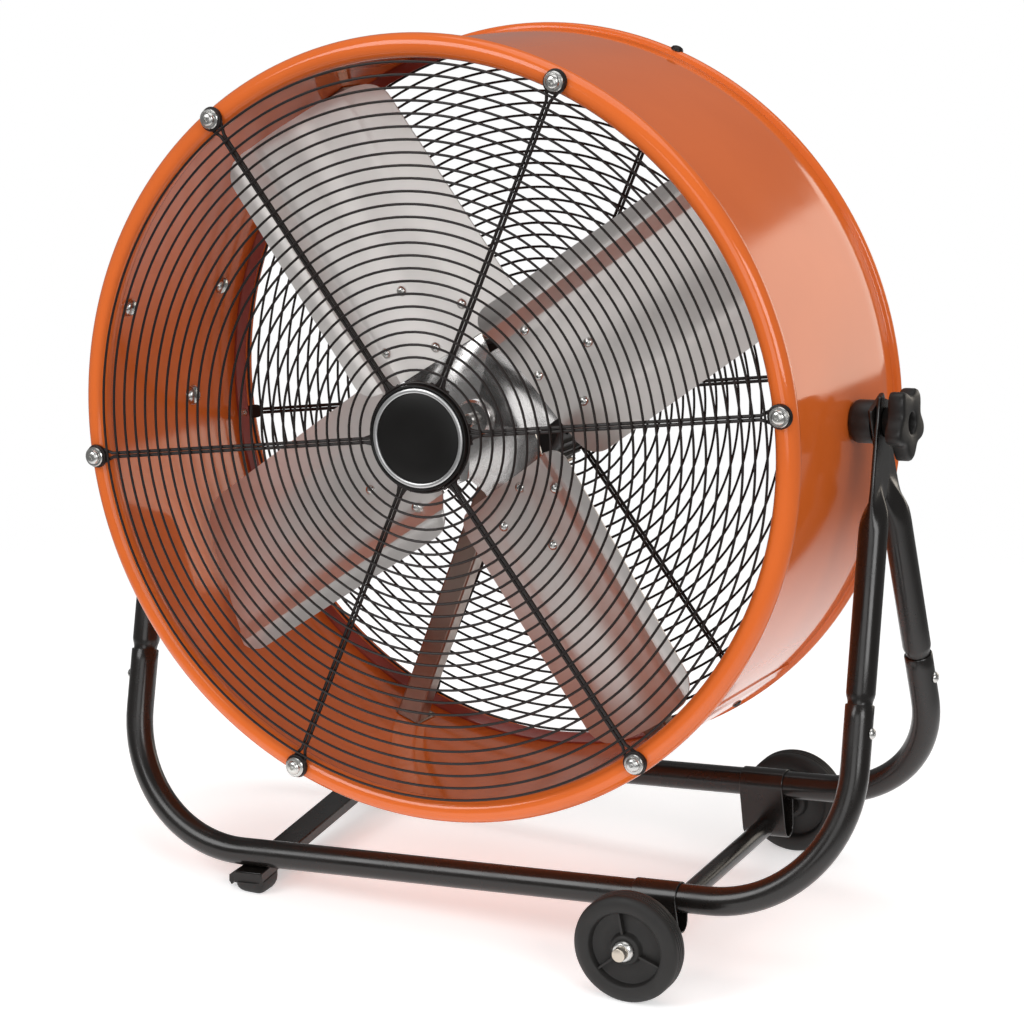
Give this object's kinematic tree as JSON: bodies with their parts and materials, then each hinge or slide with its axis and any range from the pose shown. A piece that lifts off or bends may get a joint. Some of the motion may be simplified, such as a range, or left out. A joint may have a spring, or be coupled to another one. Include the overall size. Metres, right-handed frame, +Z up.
{
  "type": "drum fan",
  "caption": "Portable drum fan: wide orange steel drum with wire guards, tilting on clamp knobs in a black tube stand with floor wheels and rubber feet.",
  "frame": {"origin": "on the floor, centred under the fan's overall width and depth", "axes": "+Z up, -Y is the side the air leaves and the badge faces, +X towards the side with the wheels"},
  "size_m": [0.7706, 0.4258, 0.7891],
  "materials": {
    "orange_paint": "gloss",
    "black_paint": "gloss",
    "black_wire": "satin",
    "black_plastic": "satin",
    "tyre_rubber": "matte",
    "zinc": "bright",
    "blade_metal": "satin",
    "motor_black": "satin",
    "strut_steel": "satin",
    "shaft_steel": "satin"
  },
  "bodies": {
    "stand": {"floor_frame_front": "black_paint", "floor_frame_rear": "black_paint", "leg_front_right": "black_paint", "leg_front_left": "black_paint", "leg_rear_right": "black_paint", "leg_rear_left": "black_paint", "leg_screw_front_right": "zinc", "leg_screw_front_left": "zinc", "leg_screw_rear_right": "zinc", "leg_screw_rear_left": "zinc", "axle": "black_paint", "axle_bracket_front": "black_paint", "axle_bracket_rear": "black_paint", "axle_nut_front": "zinc", "axle_nut_rear": "zinc", "foot_bar": "black_paint", "foot_pad_front": "tyre_rubber", "foot_pad_rear": "tyre_rubber"},
    "drum": {"drum_shell": "orange_paint", "front_guard": "black_wire", "rear_guard": "black_wire", "guard_screw_front_1": "zinc", "guard_screw_front_2": "zinc", "guard_screw_front_3": "zinc", "guard_screw_front_4": "zinc", "guard_screw_front_5": "zinc", "guard_screw_front_6": "zinc", "guard_screw_rear_1": "zinc", "guard_screw_rear_2": "zinc", "guard_screw_rear_3": "zinc", "guard_screw_rear_4": "zinc", "guard_screw_rear_5": "zinc", "guard_screw_rear_6": "zinc", "badge_disc": "black_plastic", "badge_ring": "zinc", "carry_handle": "black_plastic", "handle_bolt_front": "zinc", "handle_bolt_rear": "zinc", "pivot_spacer_right": "black_plastic", "pivot_spacer_left": "black_plastic", "pivot_bolt_right": "zinc", "pivot_bolt_left": "zinc", "motor_housing": "motor_black", "motor_strut_1": "strut_steel", "motor_strut_2": "strut_steel", "motor_strut_3": "strut_steel", "switch_box": "black_plastic", "cord_gland": "black_plastic"},
    "fan_wheel": {"motor_shaft": "shaft_steel", "hub_spider": "blade_metal", "blade_1": "blade_metal", "blade_2": "blade_metal", "blade_3": "blade_metal", "blade_4": "blade_metal"},
    "front_floor_wheel": {"wheel_front": "tyre_rubber"},
    "rear_floor_wheel": {"wheel_rear": "tyre_rubber"},
    "right_clamp_knob": {"knob_right": "black_plastic"},
    "left_clamp_knob": {"knob_left": "black_plastic"},
    "speed_dial": {"switch_knob": "black_plastic"}
  },
  "joints": [
    {"name": "drum_tilt", "type": "hinge", "parent": "stand", "child": "drum", "pos_m": [-0.00354, 0.0143, 0.44142], "axis": [0.9962, 0, 0.0872], "range_deg": [-86, 30]},
    {"name": "fan_spin", "type": "hinge", "parent": "drum", "child": "fan_wheel", "pos_m": [-0.00354, 0.0143, 0.44142], "axis": [0.006, 0.9976, -0.069], "continuous": true},
    {"name": "front_wheel_roll", "type": "hinge", "parent": "stand", "child": "front_floor_wheel", "pos_m": [0.21531, -0.1899, 0.0477], "axis": [0, 1, 0], "continuous": true},
    {"name": "rear_wheel_roll", "type": "hinge", "parent": "stand", "child": "rear_floor_wheel", "pos_m": [0.21531, 0.1899, 0.0477], "axis": [0, 1, 0], "continuous": true},
    {"name": "right_knob_turn", "type": "hinge", "parent": "drum", "child": "right_clamp_knob", "pos_m": [0.36804, 0.0143, 0.47393], "axis": [0.9962, 0, 0.0872], "range_deg": [0, 360]},
    {"name": "left_knob_turn", "type": "hinge", "parent": "drum", "child": "left_clamp_knob", "pos_m": [-0.37512, 0.0143, 0.40891], "axis": [-0.9962, 0, -0.0872], "range_deg": [0, 360]},
    {"name": "speed_dial_turn", "type": "hinge", "parent": "drum", "child": "speed_dial", "pos_m": [-0.00329, 0.14241, 0.43856], "axis": [-0.006, -0.9976, 0.069], "range_deg": [0, 90]}
  ]
}
